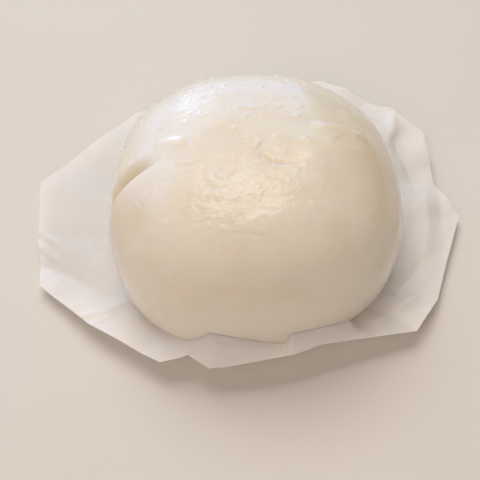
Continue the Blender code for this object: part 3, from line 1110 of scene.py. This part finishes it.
# The sheet's single creases, walked outwards or round from the left.
PAPER_FOLDS = (
    PaperFold(((-80.0, -8.0), (-70.8, -11.3), (-63.7, -14.0), (-57.2, -17.5), (-50.2, -21.2),
        (-41.0, -27.0)), -2.6, 10.0, 8.0),
    PaperFold(((-58.0, -33.6), (-54.9, -32.4), (-50.3, -31.0), (-43.9, -28.1),
        (-40.0, -26.5)), 0.9, 2.5, 3.0),
    PaperFold(((-53.0, -36.5), (-50.8, -35.2), (-46.6, -32.7), (-43.0, -30.5)), 0.5, 2.0, 2.0),
    PaperFold(((-78.0, 3.5), (-74.3, 1.6), (-68.9, -1.7), (-66.0, -3.5)), 0.9, 1.8, 1.8),
    PaperFold(((-76.0, -2.0), (-72.6, -4.2), (-68.0, -7.8), (-65.0, -10.0)), 0.9, 1.8, 2.4),
    PaperFold(((-66.0, -15.0), (-63.5, -20.0), (-60.5, -25.5)), 0.8, 3.0, 2.0),
    PaperFold(((52.4, 66.0), (52.9, 58.1), (53.0, 46.1), (50.0, 36.0)), 1.3, 4.0, 4.0),
    PaperFold(((48.0, 58.5), (58.4, 49.6), (61.5, 45.0), (63.6, 39.1), (64.6, 33.0)), 1.5, 3.0, 3.0),
    PaperFold(((52.6, 45.0), (53.4, 38.5), (57.3, 26.1), (60.0, 18.0)), -1.8, 5.0, 4.0),
    PaperFold(((62.0, 20.0), (61.4, 13.1), (60.8, 2.4), (57.9, -7.8), (54.0, -16.0)), 1.1, 6.0, 6.0),
    PaperFold(((66.5, 24.0), (66.0, 19.0), (65.6, 8.1), (64.5, 0.0)), -0.3, 3.0, 3.0),
    PaperFold(((60.0, -6.0), (55.8, -11.2), (48.6, -19.9), (44.0, -26.0)), -1.4, 5.0, 5.0),
    PaperFold(((54.0, -23.0), (50.5, -25.5), (41.6, -31.9), (36.0, -36.0)), 1.1, 4.0, 4.0),
    PaperFold(((-22.0, -46.2), (-19.5, -47.2), (-16.0, -48.7), (-12.3, -50.2),
        (-9.6, -51.4)), 1.3, 4.0, 3.0),
)


@dataclass
class PaperSheet:
    """The thin sheet: flat under the bun, up against its side, then out to its cut edge.

    It is laid out on spokes round the middle. A geometry tree then creases it, most towards the
    edge, with creases that run outwards as the sheet was gathered in. Lengths are millimetres and
    azimuths are degrees.
    """

    body: BunBody
    thickness: float = 0.25
    gap: float = 0.03
    stuck_from: float = 0.8
    stuck_gap: float = 0.0
    flat_radius: float = 30.0
    flat_rows: int = 4
    side_rows: int = 18
    margin_rows: int = 44
    spokes: int = 560
    side_row_spread: float = 1.6
    slope_step: float = 0.5
    crease_height: float = 1.5
    crease_spacing: float = 17.0
    crease_stretch: float = 0.6
    crease_radius: float = 62.0
    crease_path: float = 45.0
    crease_mean: float = 0.22
    crease_rise: float = 1.6
    crease_least: float = 0.2
    # Where the sheet is creased most: azimuth, half of the width in degrees, and a share.
    crease_zones: tuple[tuple[float, float, float], ...] = (
        (-158.0, 13.0, 0.8), (42.0, 16.0, 0.6), (-20.0, 14.0, 0.2),
    )
    fine_height: float = 0.5
    fine_spacing: float = 6.0
    seed: int = 3
    sharp_angle: float = 38.0
    # The front crease's slant: azimuth, half of the width and turn, in degrees.
    front_slant: tuple[float, float, float] = (-103.0, 12.0, -10.0)
    # The fold across it: azimuth, half of the width, middle and half of the reach as shares, height.
    cross_fold: tuple[float, float, float, float, float] = (-98.0, 12.0, 0.45, 0.22, 0.8)
    # The cut edge's corners: azimuth, radius and height.
    corners: tuple[tuple[float, float, float], ...] = (
        (164.0, 79.2, 5.0), (180.0, 73.9, 3.4), (-164.0, 72.8, 5.0), (-145.5, 62.2, 6.5),
        (-120.0, 56.5, 10.0), (-112.6, 51.4, 11.0), (-104.2, 53.3, 11.0), (-92.0, 50.3, 13.0),
        (-78.2, 49.5, 13.8), (-76.8, 49.4, 13.9), (-66.0, 49.1, 14.0), (-36.5, 62.9, 7.0),
        (-23.5, 64.6, 5.0), (6.5, 73.0, 4.0), (18.0, 68.6, 5.5), (31.5, 76.6, 9.0), (46.0, 74.6, 10.0),
        (68.0, 74.8, 9.5), (99.0, 72.0, 6.0), (129.0, 72.0, 5.0),
    )
    # How high the sheet clings to the bun's side, at each azimuth.
    cling: Path2 = (
        (-180.0, 1.0), (-160.0, 1.5), (-146.0, 3.0), (-130.0, 6.0), (-121.0, 9.5), (-115.5, 12.0),
        (-110.4, 16.0), (-106.2, 21.2), (-100.0, 20.2), (-93.0, 18.0), (-87.5, 15.6), (-81.4, 13.2),
        (-78.2, 12.4), (-76.8, 18.8), (-66.2, 18.0), (-59.6, 16.4), (-52.9, 13.2), (-47.0, 6.0),
        (-38.0, 2.5), (-24.0, 1.5), (20.0, 1.5), (48.0, 2.5), (75.0, 2.5), (100.0, 1.5), (180.0, 1.0),
    )
    # Soft waves of the edge: azimuth, half of the width in degrees, and height.
    soft_folds: tuple[tuple[float, float, float], ...] = (
        (-104.2, 3.0, 0.6), (168.0, 10.0, 0.9), (-140.0, 7.0, 0.7), (-127.0, 4.0, -0.7),
        (-30.0, 5.0, 1.0), (-12.0, 5.0, -0.9), (12.0, 4.0, 1.2), (24.0, 3.5, -1.2), (40.0, 3.5, 1.4),
        (52.0, 3.0, -1.0), (60.0, 3.5, 1.2), (84.0, 6.0, 1.0), (112.0, 6.0, -0.9), (144.0, 7.0, 1.0),
    )
    paper_folds: tuple[PaperFold, ...] = PAPER_FOLDS
    fold_start: float = 0.2
    fold_fade: float = 0.22

    def slanted(self, azimuth: Array) -> Array:
        """Turns the spokes where they leave the bun, so that the front crease runs aslant.

        Args:
            azimuth: The spokes' azimuths at the cut edge, in radians.

        Returns:
            Their azimuths at the bun, in radians.
        """
        turn, half_width, slant = self.front_slant
        return azimuth + math.radians(slant) * bell(np.degrees(azimuth) - turn, half_width)

    def edge_points(self) -> tuple[Array, Array]:
        """Draws the straight cut edge from corner to corner.

        Returns:
            Points along it, and their azimuths in radians.
        """
        turns, radii, heights = np.array(self.corners).T
        turns = np.radians(turns)
        corners = around(turns, radii, heights)
        points = []
        for index, start in enumerate(corners):
            following = (index + 1) % len(corners)
            span = (turns[following] - turns[index]) % (2.0 * math.pi)
            steps = max(3, round(self.spokes * span / (2.0 * math.pi)))
            shares = np.arange(steps)[:, None] / steps
            points.append(start + (corners[following] - start) * shares)
        points = np.vstack(points)
        return points, np.arctan2(points[:, 1], points[:, 0])

    def rows(self) -> tuple[list[Array], list[float], Array]:
        """Lays out the sheet's rows from the middle to the edge.

        Returns:
            The points of each row, how much each row is creased, and the spokes' azimuths.
        """
        edge, edge_azimuth = self.edge_points()
        azimuth = self.slanted(edge_azimuth)
        still = np.zeros_like(azimuth)
        away = self.thickness + self.gap
        laid = []
        creased = []
        for row in range(1, self.flat_rows + 1):
            laid.append((azimuth, still + self.flat_radius * row / self.flat_rows, still - away))
            creased.append(0.0)
        turns, heights = np.array(self.cling).T
        cling = np.interp(azimuth, np.radians(turns), heights)
        for row in range(1, self.side_rows + 1):
            height = cling * (row / self.side_rows) ** self.side_row_spread
            radius = self.body.side_radius(azimuth, height)
            rise = self.body.side_radius(azimuth, height + self.slope_step) - radius
            slope = np.arctan2(self.slope_step, rise)
            # Near its crest the sheet sticks to the damp dough, with no gap that would show dark.
            stuck = max(0.0, (row / self.side_rows - self.stuck_from) / (1.0 - self.stuck_from))
            clear = away + (self.stuck_gap - away) * stuck
            laid.append((azimuth, radius + clear * np.sin(slope), height - clear * np.cos(slope)))
            creased.append(0.0)
        folds = np.zeros_like(azimuth)
        for turn, half_width, top in self.soft_folds:
            folds += top * bell(degrees_apart(edge_azimuth, turn), half_width)
        turn, half_width, middle, half_share, top = self.cross_fold
        crossing = top * bell(np.degrees(edge_azimuth) - turn, half_width)
        edge_radius = np.hypot(edge[:, 0], edge[:, 1])
        _, start_radius, start_height = laid[-1]
        for row in range(1, self.margin_rows + 1):
            share = row / self.margin_rows
            radius = start_radius + (edge_radius - start_radius) * share
            height = start_height + (edge[:, 2] - self.body.raised - start_height + folds) * share
            height = height + crossing * bell(share - middle, half_share)
            turned = azimuth + (edge_azimuth - azimuth) * share
            places = around(turned, radius)
            for fold in self.paper_folds:
                offset, along, _, _ = self.body.measure(places, fold.path)
                top = fold.height * between_ends(along, self.fold_fade, self.fold_fade)
                height = height + top * fold.profile(offset) * min(1.0, share / self.fold_start)
            laid.append((turned, radius, height))
            creased.append(min(1.0, share * self.crease_rise))
        rows = [around(turn, radius, height + self.body.raised) for turn, radius, height in laid]
        return rows, creased, edge_azimuth

    def build_tree(self, material: Material) -> NodeTree:
        """Builds the tree that creases the sheet.

        Args:
            material: The paper's finish.

        Returns:
            The tree, whose inputs are named for what they set.
        """
        names = tuple(f"{size} {what}" for size in ("Crease", "Fine") for what in ("Height", "Spacing"))
        tree, given = start_tree("paper_creases", names)
        kind = "GeometryNodeInputNamedAttribute"
        place = add_node(tree, kind, {"Name": "unrolled"}, data_type="FLOAT_VECTOR")
        share = add_node(tree, kind, {"Name": "creased"}, data_type="FLOAT")
        shifted = add_node(tree, "ShaderNodeVectorMath", {0: place, 1: given["Seed"]}, operation="ADD")
        heights = []
        for size in ("Crease", "Fine"):
            spacing = {0: 1.0, 1: given[f"{size} Spacing"]}
            closeness = add_node(tree, "ShaderNodeMath", spacing, operation="DIVIDE")
            facets = {"Vector": shifted, "Scale": closeness}
            cells = add_node(tree, "ShaderNodeTexVoronoi", facets, feature="DISTANCE_TO_EDGE")
            centred = add_node(tree, "ShaderNodeMath", {0: cells, 1: self.crease_mean}, operation="SUBTRACT")
            rise = {0: centred, 1: given[f"{size} Height"]}
            heights.append(add_node(tree, "ShaderNodeMath", rise, operation="MULTIPLY"))
        total = add_node(tree, "ShaderNodeMath", dict(enumerate(heights)), operation="ADD")
        eased = add_node(tree, "ShaderNodeMath", {0: total, 1: share}, operation="MULTIPLY")
        normal = add_node(tree, "GeometryNodeInputNormal")
        push = add_node(tree, "ShaderNodeVectorMath", {0: normal, "Scale": eased}, operation="SCALE")
        moved = add_node(tree, "GeometryNodeSetPosition", {"Geometry": given["Geometry"], "Offset": push})
        end_tree(tree, moved, material)
        return tree

    def build(self, material: Material) -> Object:
        """Builds the sheet.

        Args:
            material: The paper's finish.

        Returns:
            The finished piece.
        """
        rows, creased, azimuth = self.rows()
        count = len(azimuth)
        points = np.vstack([np.array([[0.0, 0.0, rows[0][0, 2]]])] + rows)
        faces = []
        for index in range(count):
            following = (index + 1) % count
            faces.append((0, 1 + index, 1 + following))
            for row in range(len(rows) - 1):
                inner, outer = 1 + row * count, 1 + (row + 1) * count
                faces.append((inner + index, outer + index, outer + following, inner + following))
        item = make_object("creased_paper", points, faces, material)
        path = np.zeros(count)
        reach = [np.zeros((1, 3))]
        before = np.zeros((count, 3))
        for row in rows:
            path = path + np.linalg.norm(row - before, axis=1)
            before = row
            # Paths are pressed together, so that the creases run outwards more than across.
            spread = self.crease_radius + (path - self.crease_path) * self.crease_stretch
            reach.append(around(azimuth, spread, np.zeros(count)))
        add_attribute(item, "unrolled", np.vstack(reach) * MM)
        zone = np.full(count, self.crease_least)
        for turn, half_width, share in self.crease_zones:
            zone += share * bell(degrees_apart(azimuth, turn), half_width)
        add_attribute(item, "creased", np.concatenate([[0.0]] + [zone * share for share in creased]))
        values: dict[str, float | int] = {
            "Crease Height": self.crease_height * MM,
            "Crease Spacing": self.crease_spacing * MM,
            "Fine Height": self.fine_height * MM,
            "Fine Spacing": self.fine_spacing * MM,
            "Seed": self.seed,
        }
        use_tree(item, self.build_tree(material), values)
        wall = item.modifiers.new("thickness", "SOLIDIFY")
        wall.thickness = self.thickness * MM
        wall.offset = 1.0
        fix_shape(item)
        item.data.set_sharp_from_angle(angle=math.radians(self.sharp_angle))
        return item


# The studio


@dataclass(frozen=True)
class LightPanel:
    """A soft panel of light that faces the bun.

    Attributes:
        name: The light's name.
        azimuth: Where it stands round the bun, in degrees from the right.
        elevation: How high it stands, in degrees.
        distance: How far off it is, in metres.
        size: Its width and height, in metres.
        watts: Its power.
        colour: Its colour.
        use: What it is there for.
        shape: Its outline.
    """

    name: str
    azimuth: float
    elevation: float
    distance: float
    size: tuple[float, float]
    watts: float
    colour: str
    use: LightUse
    shape: PanelShape = PanelShape.RECTANGLE

    def build(self, middle: Vector) -> None:
        """Builds the panel.

        Args:
            middle: The point that it faces.
        """
        panel = bpy.data.lights.new(self.name, "AREA")
        panel.shape = self.shape.value
        panel.size, panel.size_y = self.size
        panel.energy = self.watts
        panel.color = linear(self.colour)[:3]
        turn, tilt = math.radians(self.azimuth), math.radians(self.elevation)
        away = Vector((math.cos(turn) * math.cos(tilt), math.sin(turn) * math.cos(tilt), math.sin(tilt)))
        item = bpy.data.objects.new(self.name, panel)
        item.location = middle + away * self.distance
        item.rotation_euler = away.to_track_quat("Z", "Y").to_euler()
        item.visible_camera = False
        item.visible_glossy = self.use is LightUse.GLOSS
        item.visible_diffuse = self.use is LightUse.FILL
        bpy.context.scene.collection.objects.link(item)


PANELS = (
    LightPanel("key_panel", 108.0, 62.0, 1.4, (1.0, 0.9), 14.4, "FFF8F0", LightUse.FILL),
    LightPanel("front_panel", -110.0, 50.0, 1.4, (1.2, 0.9), 9.1, "FFE9DB", LightUse.FILL),
    LightPanel("window_fill", 118.0, 20.0, 1.3, (2.7, 1.2), 4.2, "A8C4FF", LightUse.FILL),
    LightPanel("window_sheen", 122.0, 20.0, 1.3, (2.8, 1.2), 18.0, "98C6FF", LightUse.GLOSS),
    LightPanel("window_core", 111.0, 13.0, 1.28, (0.3, 0.16), 1.3, "BCD6FF", LightUse.GLOSS),
    LightPanel("top_sheen", 97.0, 84.0, 1.1, (0.75, 0.9), 3.8, "FFF4E2", LightUse.GLOSS, PanelShape.ELLIPSE),
)


@dataclass
class Studio:
    """A plain pale floor, soft studio lights and the camera.

    Lengths are metres and angles are degrees.
    """

    aim: tuple[float, float, float] = (-0.00437, -0.00933, 0.0157)
    distance: float = 0.2149
    elevation: float = 57.0
    lens: float = 50.0
    sensor: float = 36.0
    nearest: float = 0.01
    floor_radius: float = 1.7
    floor_corners: int = 96
    panels: tuple[LightPanel, ...] = PANELS
    lit_point: tuple[float, float, float] = (0.0, 0.0, 0.03)
    room_colour: str = "FFEEE2"
    room_light: float = 0.12
    room_seen: float = 0.66

    def build_floor(self) -> None:
        """Builds the floor, a wide round board."""
        bm = bmesh.new()
        bmesh.ops.create_circle(bm, cap_ends=True, segments=self.floor_corners, radius=self.floor_radius)
        mesh = bpy.data.meshes.new("studio_floor")
        bm.to_mesh(mesh)
        bm.free()
        mesh.materials.append(MattFloor().build())
        item = bpy.data.objects.new("studio_floor", mesh)
        bpy.context.scene.collection.objects.link(item)

    def place_camera(self) -> None:
        """Places the camera at the height that the bun is seen from."""
        tilt = math.radians(self.elevation)
        back = Vector((0.0, -math.cos(tilt), math.sin(tilt)))
        camera = bpy.data.objects.new("camera", bpy.data.cameras.new("camera"))
        camera.data.lens = self.lens
        camera.data.sensor_width = self.sensor
        camera.data.clip_start = self.nearest
        camera.location = Vector(self.aim) + back * self.distance
        camera.rotation_euler = (math.pi / 2.0 - tilt, 0.0, 0.0)
        bpy.context.scene.collection.objects.link(camera)
        bpy.context.scene.camera = camera

    def light_room(self) -> None:
        """Gives the room its even light, and its pale wall, which is seen brighter than it lights."""
        world = bpy.data.worlds.new("soft_room")
        world.use_nodes = True
        tree = world.node_tree
        seen = add_node(tree, "ShaderNodeLightPath").outputs["Is Camera Ray"]
        ramp = {"Value": seen, "To Min": self.room_light, "To Max": self.room_seen}
        strength = add_node(tree, "ShaderNodeMapRange", ramp)
        feed(tree, tree.nodes["Background"], {"Color": linear(self.room_colour), "Strength": strength})
        bpy.context.scene.world = world
        bpy.context.scene.view_settings.view_transform = "Standard"

    def build(self) -> None:
        """Builds the floor, the camera, the lights and the room."""
        self.build_floor()
        self.place_camera()
        for panel in self.panels:
            panel.build(Vector(self.lit_point))
        self.light_room()


def main() -> None:
    """Builds every piece and reports it."""
    logging.basicConfig(level=logging.INFO, format="%(name)s: %(message)s")
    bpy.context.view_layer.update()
    Studio().build()
    dough = SteamedDough().build()
    paper = BakingPaper().build()
    body = BunBody()
    skin = body.build(dough)
    SkinBubbles().raise_on(skin, dough)
    sheet = PaperSheet(body).build(paper)
    settle(skin, Solid.BUN)
    settle(sheet, Solid.SHEET)


if __name__ == "__main__":
    main()
